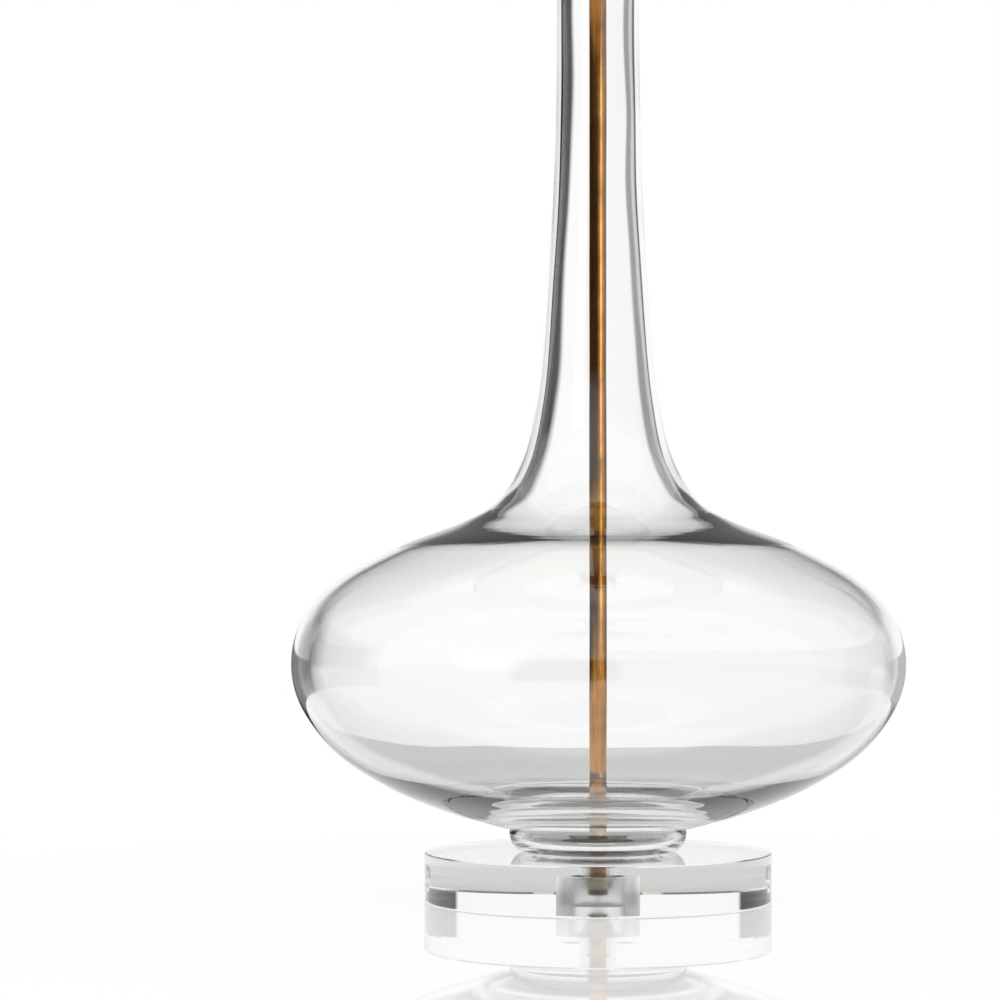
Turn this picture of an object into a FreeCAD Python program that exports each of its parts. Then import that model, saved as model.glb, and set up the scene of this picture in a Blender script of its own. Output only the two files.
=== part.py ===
import FreeCAD, Part

import math
import os

from FreeCAD import Vector

# Table lamp: a blown glass bottle on a clear acrylic plinth, held by a brass pipe down its axis,
# with a lampholder, a harp and a drum shade. Millimetres, +Z up, +X right, -Y front.
# The origin is on the table, on the lamp's axis.

# Plinth: a turned acrylic disc, with a pocket below for the nut and a hole for the cord.
plinth_radius = 97.0
plinth_height = 27.0
plinth_bevel = 0.6
pocket_radius = 15.7
pocket_depth = 16.1
pipe_hole_radius = 6.9
cord_hole_radius = 4.8
cord_hole_height = 6.8

# Cord grommet in the plinth's back.
grommet_length = 11.0
grommet_flange_radius = 7.0
grommet_flange = 1.6
grommet_wall = 1.0

# Pipe, and what is threaded on its lower end.
pipe_radius = 4.85
pipe_bore_radius = 3.2
thread_gap = 0.05
washer_radius = 10.2
washer_thickness = 1.6
nut_across_flats = 14.3
nut_height = 5.8
nut_turn = 17.5
nut_chamfer = 0.8
pipe_stub = 2.4
bushing_wall = 0.7
bushing_lip = 1.0
bushing_bore_radius = 2.8

# Glass: the foot, the squat bulb and the long neck. Heights are above the plinth.
foot_rest_radius = 39.8
foot_radius = 49.6
foot_bulge_height = 11.0
crease_radius = 48.8
crease_height = 12.8
punt_radius = 34.0
punt_depth = 1.5
belly_radius = 171.6
belly_height = 108.0
shoulder_radius = 73.9
shoulder_height = 185.2
flare_radius = 34.2
flare_height = 252.4
neck_radius = 23.2
mouth_height = 518.0
glass_floor = 5.2
foot_wall = 4.0
foot_fillet = 6.0
belly_wall = 3.6
underside_wall = 5.4
neck_wall = 4.0
glass_hole_radius = 5.8

# Rubber washer under the glass, and the brass collar on the glass floor.
foot_washer_radius = 24.5
collar_radius = 5.4
collar_height = 7.4
collar_bead_radius = 6.9
collar_bead_height = 4.6

# Brass cap on the neck, its gasket and the turned column on top.
gasket_thickness = 1.6
cap_clearance = 0.6
cap_wall = 1.2
cap_skirt = 14.0
cap_bead = 0.8
cap_dome = 9.0
cap_boss_radius = 9.5
column_height = 16.0
column_band = 2.5
column_base_radius = 9.0
column_waist_radius = 6.6
column_top_radius = 8.4

# Harp: the saddle under the lampholder, the wire bow, its sleeves and the boss for the shade.
saddle_thickness = 1.5
saddle_width = 13.0
saddle_height = 13.4
saddle_bend = 5.0
tongue_width = 3.4
tongue_height = 10.0
harp_leg = 28.5
harp_wire_radius = 2.0
harp_leg_height = 32.0
harp_half_width = 56.0
harp_widening = 43.0
harp_side_height = 62.0
harp_height = 196.0
harp_top_half_width = 28.0
harp_bends = [30.0, 60.0, 80.0, 24.0]
sleeve_length = 16.0
sleeve_wall = 1.6
sleeve_gap = 0.4
sleeve_seat_gap = 0.2
sleeve_edge = 0.5
boss_radius = 5.2
boss_below = 3.2
boss_above = 5.0
boss_edge = 0.6
stud_radius = 3.1
stud_height = 17.0

# Lampholder. Heights are above the saddle.
holder_hub_radius = 7.4
holder_hub_height = 7.0
holder_radius = 17.2
holder_cap_height = 21.0
holder_straight = 6.0
holder_wall = 0.8
shell_wall = 0.6
shell_overlap = 4.0
shell_top = 58.0
shell_rim = 0.9
liner_wall = 0.5
nest_gap = 0.1
interior_bottom = 15.0
interior_top = 33.0
interior_edge = 1.0
contact_height = 1.8
contact_width = 5.0
contact_button_radius = 2.0
contact_length = 11.0
screw_shell_radius = 13.35
screw_shell_wall = 0.5
screw_shell_length = 23.5
pipe_in_hub = 8.0
set_screw_radius = 1.5
set_screw_height = 3.6
terminal_radius = 3.0
terminal_head = 1.6
terminal_seat = 11.0
terminal_height = 22.0

# Rotary key of the lampholder's switch.
key_height = 27.0
key_shaft_radius = 1.6
key_shaft_gap = 0.05
key_passage_gap = 0.7
key_depth = 6.0
key_reach = 7.0
key_grip_width = 12.0
key_grip_length = 11.0
key_grip_thickness = 3.2
key_grip_edge = 1.0

# Drum shade on a spider that rests on the harp's boss.
shade_rise = 12.0
shade_height = 265.0
shade_bottom_radius = 215.0
shade_taper = 12.0
cover_wall = 0.8
lining_wall = 0.5
ring_wire_radius = 1.6
ring_inset = 3.0
trim_height = 10.0
trim_wall = 0.4
spider_washer_radius = 12.0
spider_washer_thickness = 1.2
spider_hole_gap = 0.4
spider_arms = 3
spider_first_arm = 90.0
spider_arm_run = 20.0

# Finial that holds the shade down.
finial_gap = 0.1
finial_base_radius = 7.0
finial_base_height = 3.0
finial_neck_radius = 3.9
finial_neck_height = 7.0
finial_ball_radius = 8.2

# Levels that the sizes above give.
plinth_top = plinth_height
pocket_ceiling = pocket_depth
nut_top = pocket_ceiling - washer_thickness
nut_bottom = nut_top - nut_height
pipe_bottom = nut_bottom - pipe_stub
mouth_z = plinth_top + mouth_height
rim_z = mouth_z + neck_wall / 2
cap_seat_z = rim_z + gasket_thickness
cap_top_z = cap_seat_z + cap_dome
saddle_z = cap_top_z + column_height
holder_z = saddle_z + saddle_thickness
pipe_top = holder_z + pipe_in_hub
arm_top_z = saddle_z + saddle_height
leg_z = arm_top_z + tongue_height
harp_top_z = leg_z + harp_height
boss_top_z = harp_top_z + boss_above
washer_top_z = boss_top_z + spider_washer_thickness
shade_top = boss_top_z + shade_rise
shade_top_radius = shade_bottom_radius - shade_taper
shade_bottom = shade_top - shade_height
top_ring_z = shade_top - ring_inset


def at(radius, height):
    """A point of a turned section, in the XZ plane."""
    return Vector(radius, 0, height)


def lines(points):
    """Straight edges through the points."""
    return [Part.LineSegment(a, b).toShape() for a, b in zip(points, points[1:])]


def curve(points, start=None, end=None):
    """One smooth edge through the points, with its directions at the ends where they are given."""
    spline = Part.BSplineCurve()
    if start is None or end is None:
        spline.interpolate(Points=points)
    else:
        spline.interpolate(Points=points, InitialTangent=start, FinalTangent=end)
    return spline.toShape()


def arc(first, middle, last):
    """A round edge through three points."""
    return Part.Arc(first, middle, last).toShape()


def turned(edges):
    """A solid turned about the lamp's axis from the edges of a closed section."""
    section = Part.Face(Part.Wire(Part.__sortEdges__(edges)))
    return section.revolve(Vector(0, 0, 0), Vector(0, 0, 1), 360)


def turned_polygon(pairs):
    """A turned solid from (radius, height) corners."""
    points = [at(radius, height) for radius, height in pairs]
    return turned(lines(points + points[:1]))


def tube(inner, outer, low, high):
    """A ring with a square section about the lamp's axis."""
    return turned_polygon([(inner, low), (outer, low), (outer, high), (inner, high)])


def rod(radius, start, end):
    """A round bar between two points."""
    way = end - start
    return Part.makeCylinder(radius, way.Length, start, way)


def block(low, high):
    """A box between two corners."""
    size = high - low
    return Part.makeBox(size.x, size.y, size.z, low)


def rounded_path(points, radii):
    """Straight runs through the points, with a tangent arc of the given radius at each inner one."""
    edges = []
    start = points[0]
    for before, corner, after, radius in zip(points, points[1:], points[2:], radii):
        back = (before - corner).normalize()
        ahead = (after - corner).normalize()
        half = back.getAngle(ahead) / 2
        first = corner + back * (radius / math.tan(half))
        last = corner + ahead * (radius / math.tan(half))
        bisector = (back + ahead).normalize()
        middle = corner + bisector * (radius / math.sin(half) - radius)
        edges.append(Part.LineSegment(start, first).toShape())
        edges.append(arc(first, middle, last))
        start = last
    edges.append(Part.LineSegment(start, points[-1]).toShape())
    return Part.Wire(edges)


def wire_along(path, start, direction, radius):
    """A round wire swept along a path of lines and arcs."""
    section = Part.Wire(Part.Circle(start, direction, radius).toShape())
    return path.makePipeShell([section], True, False)


def about_axis(shape, degrees):
    """A copy turned about the lamp's axis."""
    copy = shape.copy()
    copy.rotate(Vector(0, 0, 0), Vector(0, 0, 1), degrees)
    return copy


def between(low, high, shares):
    """Points between two points, each at its shares of the radius and of the height."""
    span = high - low
    return [at(low.x + span.x * radius, low.z + span.z * height) for radius, height in shares]


def plinth():
    body = turned_polygon([
        (0, 0),
        (plinth_radius - plinth_bevel, 0),
        (plinth_radius, plinth_bevel),
        (plinth_radius, plinth_top - plinth_bevel),
        (plinth_radius - plinth_bevel, plinth_top),
        (0, plinth_top),
    ])
    pocket = rod(pocket_radius, at(0, 0), at(0, pocket_depth))
    pipe_hole = rod(pipe_hole_radius, at(0, 0), at(0, plinth_top))
    cord_hole = rod(cord_hole_radius, at(0, cord_hole_height), Vector(0, plinth_radius, cord_hole_height))
    return body.cut(pocket.fuse(pipe_hole).fuse(cord_hole))


def cord_grommet():
    outside = Vector(0, plinth_radius + grommet_flange, cord_hole_height)
    rim = Vector(0, plinth_radius, cord_hole_height)
    inside = Vector(0, plinth_radius - grommet_length, cord_hole_height)
    body = rod(cord_hole_radius - thread_gap, inside, rim)
    flange = rod(grommet_flange_radius, rim, outside)
    bore = rod(cord_hole_radius - grommet_wall, inside, outside)
    return body.fuse(flange).cut(bore)


def pocket_washer():
    return tube(pipe_radius + thread_gap, washer_radius, nut_top, pocket_ceiling)


def hex_nut():
    corner = nut_across_flats / math.sqrt(3)
    first = math.radians(nut_turn - 90)
    corners = []
    for side in range(6):
        angle = first + side * math.pi / 3
        corners.append(Vector(corner * math.cos(angle), corner * math.sin(angle), nut_bottom))
    prism = Part.Face(Part.Wire(lines(corners + corners[:1]))).extrude(Vector(0, 0, nut_height))
    rounding = turned_polygon([
        (pipe_radius + thread_gap, nut_bottom),
        (corner - nut_chamfer, nut_bottom),
        (corner, nut_bottom + nut_chamfer / 2),
        (corner, nut_top - nut_chamfer / 2),
        (corner - nut_chamfer, nut_top),
        (pipe_radius + thread_gap, nut_top),
    ])
    return prism.common(rounding)


def pipe_bushing():
    inner = pipe_radius + thread_gap
    return turned_polygon([
        (bushing_bore_radius, pipe_bottom - bushing_lip),
        (inner + bushing_wall, pipe_bottom - bushing_lip),
        (inner + bushing_wall, nut_bottom),
        (inner, nut_bottom),
        (inner, pipe_bottom),
        (bushing_bore_radius, pipe_bottom),
    ])


def lamp_pipe():
    return tube(pipe_bore_radius, pipe_radius, pipe_bottom, pipe_top)


def glass_stations():
    """Points that the outside of the glass passes through, from the crease to the mouth."""
    crease = at(crease_radius, plinth_top + crease_height)
    belly = at(belly_radius, plinth_top + belly_height)
    shoulder = at(shoulder_radius, plinth_top + shoulder_height)
    flare = at(flare_radius, plinth_top + flare_height)
    mouth = at(neck_radius, mouth_z)
    underside = between(crease, belly, [(0.142, 0.046), (0.32, 0.118), (0.571, 0.258),
                                        (0.811, 0.471), (0.966, 0.752)])
    upper_side = between(belly, shoulder, [(0.069, 0.304), (0.266, 0.565), (0.645, 0.826)])
    neck_flare = between(shoulder, flare, [(0.443, 0.167), (0.796, 0.5)])
    neck = between(flare, mouth, [(0.564, 0.253), (0.891, 0.506), (0.98, 0.75)])
    return [crease] + underside + [belly] + upper_side + [shoulder] + neck_flare + [flare] + neck + [mouth]


def wall_at(height):
    """Wall of the glass at a height above the plinth: thick below, thin at the belly."""
    if height < belly_height:
        share = (belly_height - height) / (belly_height - crease_height)
        return belly_wall + (underside_wall - belly_wall) * share ** 2
    share = min(1.0, (height - belly_height) / (flare_height - belly_height))
    return belly_wall + (neck_wall - belly_wall) * share


def glass_body():
    stations = glass_stations()
    outline = Part.BSplineCurve()
    outline.interpolate(Points=stations, InitialTangent=Vector(1, 0, 0.3), FinalTangent=Vector(0, 0, 1))
    lining = []
    for station in stations[1:-1]:
        along = outline.tangent(outline.parameter(station))[0]
        inward = Vector(-along.z, 0, along.x)
        lining.append(station + inward * wall_at(station.z - plinth_top))
    foot_points = []
    for step in range(5):
        turn = step * math.pi / 8
        foot_points.append(at(foot_rest_radius + (foot_radius - foot_rest_radius) * math.sin(turn),
                              plinth_top + foot_bulge_height * (1 - math.cos(turn))))
    floor_z = plinth_top + glass_floor
    punt_z = plinth_top + punt_depth
    cavity = foot_radius - foot_wall
    round_start = at(cavity - foot_fillet, floor_z)
    round_end = at(cavity, floor_z + foot_fillet)
    lean = foot_fillet * math.sqrt(0.5)
    round_middle = at(cavity - foot_fillet + lean, floor_z + foot_fillet - lean)
    neck_inner = at(neck_radius - neck_wall, mouth_z)
    edges = lines([at(glass_hole_radius, punt_z), at(punt_radius - punt_depth, punt_z),
                   at(punt_radius, plinth_top), foot_points[0]])
    edges.append(curve(foot_points, Vector(1, 0, 0), Vector(0, 0, 1)))
    edges += lines([foot_points[-1], stations[0]])
    edges.append(outline.toShape())
    edges.append(arc(stations[-1], at(neck_radius - neck_wall / 2, mouth_z + neck_wall / 2), neck_inner))
    edges.append(curve([neck_inner] + lining[::-1] + [round_end], Vector(0, 0, -1), Vector(0, 0, -1)))
    edges.append(arc(round_end, round_middle, round_start))
    edges += lines([round_start, at(glass_hole_radius, floor_z), at(glass_hole_radius, punt_z)])
    return turned(edges)


def foot_washer():
    return tube(pipe_radius + thread_gap, foot_washer_radius, plinth_top, plinth_top + punt_depth)


def seat_collar():
    low = plinth_top + glass_floor
    bead_low = low + collar_height
    bead_middle = bead_low + collar_bead_height / 2
    bead_high = bead_low + collar_bead_height
    inner = pipe_radius + thread_gap
    edges = lines([at(collar_radius, bead_high), at(inner, bead_high), at(inner, low),
                   at(collar_bead_radius, low), at(collar_bead_radius, low + cap_wall),
                   at(collar_radius, low + 2 * cap_wall), at(collar_radius, bead_low)])
    edges.append(arc(at(collar_radius, bead_low), at(collar_bead_radius, bead_middle),
                     at(collar_radius, bead_high)))
    return turned(edges)


def neck_gasket():
    return tube(neck_radius - neck_wall, neck_radius, rim_z, cap_seat_z)


def neck_cap():
    inner = neck_radius + cap_clearance
    outer = inner + cap_wall
    bottom = cap_seat_z - cap_skirt
    hole = pipe_radius + thread_gap
    seat = at(outer, cap_seat_z)
    top = at(cap_boss_radius, cap_top_z)
    edges = lines([top, at(hole, cap_top_z), at(hole, cap_seat_z), at(inner, cap_seat_z),
                   at(inner, bottom), at(outer, bottom)])
    edges.append(arc(at(outer, bottom), at(outer + cap_bead, bottom + cap_bead),
                     at(outer, bottom + 2 * cap_bead)))
    edges += lines([at(outer, bottom + 2 * cap_bead), seat])
    dome = between(seat, top, [(0.12, 0.42), (0.42, 0.68), (0.78, 0.86)])
    edges.append(curve([seat] + dome + [top]))
    return turned(edges)


def column():
    hole = pipe_radius + thread_gap
    base = at(column_base_radius, cap_top_z + column_band)
    waist = at(column_waist_radius, (cap_top_z + saddle_z) / 2)
    top = at(column_top_radius, saddle_z - column_band)
    edges = [curve([base, waist, top])]
    edges += lines([top, at(column_top_radius, saddle_z), at(hole, saddle_z), at(hole, cap_top_z),
                    at(column_base_radius, cap_top_z), base])
    return turned(edges)


def harp_saddle():
    half = saddle_thickness / 2
    outer = harp_leg + half
    inner = harp_leg - half
    floor = saddle_z + saddle_thickness
    below = rounded_path([at(-outer, arm_top_z), at(-outer, saddle_z), at(outer, saddle_z),
                          at(outer, arm_top_z)], [saddle_bend + saddle_thickness] * 2)
    above = rounded_path([at(inner, arm_top_z), at(inner, floor), at(-inner, floor),
                          at(-inner, arm_top_z)], [saddle_bend] * 2)
    ends = lines([at(outer, arm_top_z), at(inner, arm_top_z)])
    ends += lines([at(-outer, arm_top_z), at(-inner, arm_top_z)])
    section = Part.Face(Part.Wire(Part.__sortEdges__(below.Edges + above.Edges + ends)))
    section.translate(Vector(0, -saddle_width / 2, 0))
    strip = section.extrude(Vector(0, saddle_width, 0))
    for side in (-1, 1):
        tongue = block(Vector(side * harp_leg - half, -tongue_width / 2, arm_top_z),
                       Vector(side * harp_leg + half, tongue_width / 2, leg_z))
        strip = strip.fuse(tongue)
    hole = rod(pipe_radius + thread_gap, at(0, saddle_z), at(0, floor))
    return strip.cut(hole).removeSplitter()


def harp_bow():
    widen_z = leg_z + harp_leg_height
    side_z = widen_z + harp_widening
    right = [at(harp_leg, leg_z), at(harp_leg, widen_z), at(harp_half_width, side_z),
             at(harp_half_width, side_z + harp_side_height), at(harp_top_half_width, harp_top_z)]
    left = [at(-point.x, point.z) for point in reversed(right)]
    path = rounded_path(right + left, harp_bends + harp_bends[::-1])
    return wire_along(path, right[0], Vector(0, 0, 1), harp_wire_radius)


def harp_boss(bow):
    turning = turned_polygon([
        (0, harp_top_z - boss_below),
        (boss_radius - boss_edge, harp_top_z - boss_below),
        (boss_radius, harp_top_z - boss_below + boss_edge),
        (boss_radius, boss_top_z),
        (stud_radius, boss_top_z),
        (stud_radius, boss_top_z + stud_height - boss_edge),
        (stud_radius - boss_edge, boss_top_z + stud_height),
        (0, boss_top_z + stud_height),
    ])
    return turning.cut(bow)


def harp_sleeve(side):
    inner = harp_wire_radius + sleeve_gap
    outer = inner + sleeve_wall
    low = arm_top_z + sleeve_seat_gap
    high = low + sleeve_length
    sleeve = turned_polygon([
        (inner, low),
        (outer - sleeve_edge, low),
        (outer, low + sleeve_edge),
        (outer, high - sleeve_edge),
        (outer - sleeve_edge, high),
        (inner, high),
    ])
    sleeve.translate(Vector(side * harp_leg, 0, 0))
    return sleeve


def holder_cap():
    inner = holder_radius - holder_wall
    hole = pipe_radius + thread_gap
    hub_z = holder_z + holder_hub_height
    wide_z = holder_z + holder_cap_height - holder_straight
    top_z = holder_z + holder_cap_height
    outside = [at(holder_hub_radius, hub_z - 2 * holder_wall), at(holder_radius, wide_z)]
    inside = [at(holder_hub_radius, hub_z), at(inner, wide_z)]
    swell = [(0.3, 0.2), (0.72, 0.45)]
    edges = [curve([outside[0]] + between(*outside, swell) + [outside[1]])]
    edges.append(curve([inside[0]] + between(*inside, swell) + [inside[1]]))
    edges += lines([outside[1], at(holder_radius, top_z), at(inner, top_z), inside[1]])
    edges += lines([inside[0], at(hole, hub_z), at(hole, holder_z), at(holder_hub_radius, holder_z),
                    outside[0]])
    screw_z = holder_z + set_screw_height
    screw_hole = rod(set_screw_radius + thread_gap, at(0, screw_z), at(holder_radius, screw_z))
    return turned(edges).cut(screw_hole)


def set_screw():
    height = holder_z + set_screw_height
    return rod(set_screw_radius, at(pipe_radius, height), at(holder_hub_radius + set_screw_radius, height))


def key_passage(radius):
    """Hole for the switch's shaft, from inside the lampholder out through its front."""
    height = holder_z + key_height
    return rod(radius, Vector(0, -key_depth, height), Vector(0, -2 * holder_radius, height))


def holder_shell():
    outer = holder_radius - holder_wall - nest_gap
    inner = outer - shell_wall
    low = holder_z + holder_cap_height - shell_overlap
    high = holder_z + shell_top
    edges = lines([at(outer, high - 2 * shell_rim), at(outer, low), at(inner, low), at(inner, high),
                   at(outer, high)])
    edges.append(arc(at(outer, high), at(outer + shell_rim, high - shell_rim),
                     at(outer, high - 2 * shell_rim)))
    return turned(edges).cut(key_passage(key_shaft_radius + key_passage_gap))


def holder_liner():
    outer = holder_radius - holder_wall - shell_wall - 2 * nest_gap
    low = holder_z + holder_cap_height - shell_overlap
    high = holder_z + shell_top - 2 * shell_rim
    sleeve = tube(outer - liner_wall, outer, low, high)
    return sleeve.cut(key_passage(key_shaft_radius + key_passage_gap))


def holder_interior():
    outer = holder_radius - holder_wall - shell_wall - liner_wall - 3 * nest_gap
    low = holder_z + interior_bottom
    high = holder_z + interior_top
    body = turned_polygon([
        (0, low),
        (outer - interior_edge, low),
        (outer, low + interior_edge),
        (outer, high - interior_edge),
        (outer - interior_edge, high),
        (0, high),
    ])
    screw_z = holder_z + terminal_height
    room = terminal_radius + key_passage_gap
    for side in (-1, 1):
        notch = block(Vector(min(side * terminal_seat, side * outer), -room, screw_z - room),
                      Vector(max(side * terminal_seat, side * outer), room, screw_z + room))
        shank = rod(set_screw_radius, at(side * terminal_seat / 2, screw_z),
                    at(side * terminal_seat, screw_z))
        body = body.cut(notch).cut(shank)
    return body.cut(key_passage(key_shaft_radius + key_shaft_gap))


def terminal_screws():
    height = holder_z + terminal_height
    screws = []
    for side in (-1, 1):
        shank = rod(set_screw_radius, at(side * terminal_seat / 2, height), at(side * terminal_seat, height))
        head = rod(terminal_radius, at(side * terminal_seat, height),
                   at(side * (terminal_seat + terminal_head), height))
        screws.append(shank.fuse(head))
    return Part.makeCompound(screws)


def screw_shell():
    low = holder_z + interior_top
    return tube(screw_shell_radius, screw_shell_radius + screw_shell_wall, low, low + screw_shell_length)


def center_contact():
    low = holder_z + interior_top
    leaf_top = low + shell_wall
    leaf = block(Vector(-contact_length / 2, -contact_width / 2, low),
                 Vector(contact_length / 2, contact_width / 2, leaf_top))
    button = rod(contact_button_radius, at(0, low), at(0, low + contact_height))
    return leaf.fuse(button)


def switch_key():
    height = holder_z + key_height
    grip_start = -(holder_radius + key_reach)
    shaft = rod(key_shaft_radius, Vector(0, -key_depth - key_shaft_gap, height),
                Vector(0, grip_start, height))
    grip = block(Vector(-key_grip_width / 2, grip_start - key_grip_length, height - key_grip_thickness / 2),
                 Vector(key_grip_width / 2, grip_start, height + key_grip_thickness / 2))
    return shaft.fuse(grip.makeFillet(key_grip_edge, grip.Edges))


def shade_radius(height):
    """Radius of the shade's outside at a height."""
    share = (height - shade_bottom) / (shade_top - shade_bottom)
    return shade_bottom_radius + (shade_top_radius - shade_bottom_radius) * share


def shade_skin(outside, wall, low, high):
    """A conical skin of the shade, with its outside so far from the cover's."""
    return turned_polygon([
        (shade_radius(low) + outside - wall, low),
        (shade_radius(low) + outside, low),
        (shade_radius(high) + outside, high),
        (shade_radius(high) + outside - wall, high),
    ])


def shade_trim(edge, way):
    """Tape round the edge of the shade: a band outside, turned in over the cut edge."""
    inside = cover_wall + lining_wall
    end = edge + way * trim_height
    turn = edge + way * trim_wall
    return turned_polygon([
        (shade_radius(edge) - inside, edge),
        (shade_radius(edge) + trim_wall, edge),
        (shade_radius(end) + trim_wall, end),
        (shade_radius(end), end),
        (shade_radius(turn), turn),
        (shade_radius(turn) - inside, turn),
    ])


def ring_radius(height):
    """Radius of the wire ring that lies inside the shade at a height."""
    return shade_radius(height) - cover_wall - lining_wall - nest_gap - ring_wire_radius


def wire_ring(height):
    return Part.makeTorus(ring_radius(height), ring_wire_radius, at(0, height), Vector(0, 0, 1))


def shade_spider(ring):
    arm_z = (boss_top_z + washer_top_z) / 2
    start = at(spider_washer_radius - ring_wire_radius, arm_z)
    bend = at(spider_washer_radius + spider_arm_run, arm_z)
    end = at(ring_radius(top_ring_z), top_ring_z)
    arm = wire_along(rounded_path([start, bend, end], [spider_arm_run / 2]), start, Vector(1, 0, 0),
                     ring_wire_radius)
    spider = tube(stud_radius + spider_hole_gap, spider_washer_radius, boss_top_z, washer_top_z)
    for index in range(spider_arms):
        spider = spider.fuse(about_axis(arm, spider_first_arm + index * 360 / spider_arms))
    return spider.cut(ring)


def finial():
    low = washer_top_z + finial_gap
    neck_z = low + finial_base_height + finial_neck_height
    ball_z = neck_z + math.sqrt(finial_ball_radius ** 2 - finial_neck_radius ** 2)
    bore = stud_radius + thread_gap
    bore_top = boss_top_z + stud_height + finial_neck_radius - stud_radius
    shoulder = at(finial_base_radius, low + finial_base_height)
    foot = at(finial_neck_radius, neck_z)
    edges = lines([shoulder, at(finial_base_radius, low), at(bore, low), at(bore, bore_top),
                    at(0, bore_top), at(0, ball_z + finial_ball_radius)])
    edges.append(arc(at(0, ball_z + finial_ball_radius), at(finial_ball_radius, ball_z), foot))
    edges.append(curve([foot] + between(foot, shoulder, [(0.06, 0.45), (0.35, 0.85)]) + [shoulder]))
    return turned(edges)


bow = harp_bow()
top_ring = wire_ring(top_ring_z)
parts = {
    "plinth": plinth(),
    "cord_grommet": cord_grommet(),
    "pocket_washer": pocket_washer(),
    "hex_nut": hex_nut(),
    "pipe_bushing": pipe_bushing(),
    "lamp_pipe": lamp_pipe(),
    "glass_body": glass_body(),
    "foot_washer": foot_washer(),
    "seat_collar": seat_collar(),
    "neck_gasket": neck_gasket(),
    "neck_cap": neck_cap(),
    "cap_column": column(),
    "harp_saddle": harp_saddle(),
    "harp_bow": bow,
    "harp_boss": harp_boss(bow),
    "harp_sleeve_left": harp_sleeve(-1),
    "harp_sleeve_right": harp_sleeve(1),
    "holder_cap": holder_cap(),
    "holder_set_screw": set_screw(),
    "holder_shell": holder_shell(),
    "holder_liner": holder_liner(),
    "holder_interior": holder_interior(),
    "terminal_screws": terminal_screws(),
    "screw_shell": screw_shell(),
    "center_contact": center_contact(),
    "switch_key": switch_key(),
    "shade_spider": shade_spider(top_ring),
    "shade_top_ring": top_ring,
    "shade_bottom_ring": wire_ring(shade_bottom + ring_inset),
    "shade_cover": shade_skin(0, cover_wall, shade_bottom + trim_wall, shade_top - trim_wall),
    "shade_lining": shade_skin(-cover_wall, lining_wall, shade_bottom + trim_wall, shade_top - trim_wall),
    "shade_bottom_trim": shade_trim(shade_bottom, 1),
    "shade_top_trim": shade_trim(shade_top, -1),
    "finial": finial(),
}

os.makedirs("parts", exist_ok=True)
for name, shape in parts.items():
    shape.exportStep("parts/" + name + ".step")
    print(name, "valid" if shape.isValid() else "NOT VALID", len(shape.Solids), round(shape.Volume))
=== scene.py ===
import math

import bmesh
import bpy
from mathutils import Matrix, Vector, noise


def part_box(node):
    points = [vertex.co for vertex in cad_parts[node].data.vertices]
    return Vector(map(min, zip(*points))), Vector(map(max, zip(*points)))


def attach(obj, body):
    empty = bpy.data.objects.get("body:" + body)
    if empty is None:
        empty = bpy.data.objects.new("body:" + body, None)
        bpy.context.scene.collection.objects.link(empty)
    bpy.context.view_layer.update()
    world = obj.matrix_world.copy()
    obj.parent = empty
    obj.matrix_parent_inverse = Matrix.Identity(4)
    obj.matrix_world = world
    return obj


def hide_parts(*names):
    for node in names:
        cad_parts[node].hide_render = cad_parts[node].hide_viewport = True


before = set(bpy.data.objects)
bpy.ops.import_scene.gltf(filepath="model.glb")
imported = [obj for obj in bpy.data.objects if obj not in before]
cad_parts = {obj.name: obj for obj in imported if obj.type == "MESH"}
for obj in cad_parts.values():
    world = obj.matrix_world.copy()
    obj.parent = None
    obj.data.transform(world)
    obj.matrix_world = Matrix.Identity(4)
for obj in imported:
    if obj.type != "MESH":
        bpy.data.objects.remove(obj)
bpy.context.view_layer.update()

# Table lamp: a blown glass bottle on a clear acrylic plinth, with a brass pipe down its axis,
# a lampholder, a harp and a linen drum shade. Metres, +Z up, the camera looks along +Y.

MM = 0.001
SEGMENTS = 192          # steps round a turned piece that shows large
SMALL_SEGMENTS = 72     # and round a small one


# ---------------------------------------------------------------- materials

def tone(text, alpha=1.0):
    """A linear colour from an sRGB hex value."""
    channels = []
    for start in (0, 2, 4):
        value = int(text[start:start + 2], 16) / 255
        channels.append(value / 12.92 if value <= 0.04045 else ((value + 0.055) / 1.055) ** 2.4)
    return (*channels, alpha)


def add(tree, kind, inputs=None, stops=None, **settings):
    """A node with its settings, its inputs set or linked, and the stops of its ramp."""
    made = tree.nodes.new(kind)
    for key, value in settings.items():
        setattr(made, key, value)
    for key, value in (inputs or {}).items():
        if isinstance(value, bpy.types.NodeSocket):
            tree.links.new(value, made.inputs[key])
        else:
            made.inputs[key].default_value = value
    if stops:
        ramp = made.color_ramp
        while len(ramp.elements) < len(stops):
            ramp.elements.new(1.0)
        for element, (place, colour) in zip(ramp.elements, stops):
            element.position = place
            element.color = colour
    return made


def new_material(name):
    """An empty material, its node tree and its output."""
    material = bpy.data.materials.new(name)
    material.use_nodes = True
    material.node_tree.nodes.clear()
    return material, material.node_tree, material.node_tree.nodes.new("ShaderNodeOutputMaterial")


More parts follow.
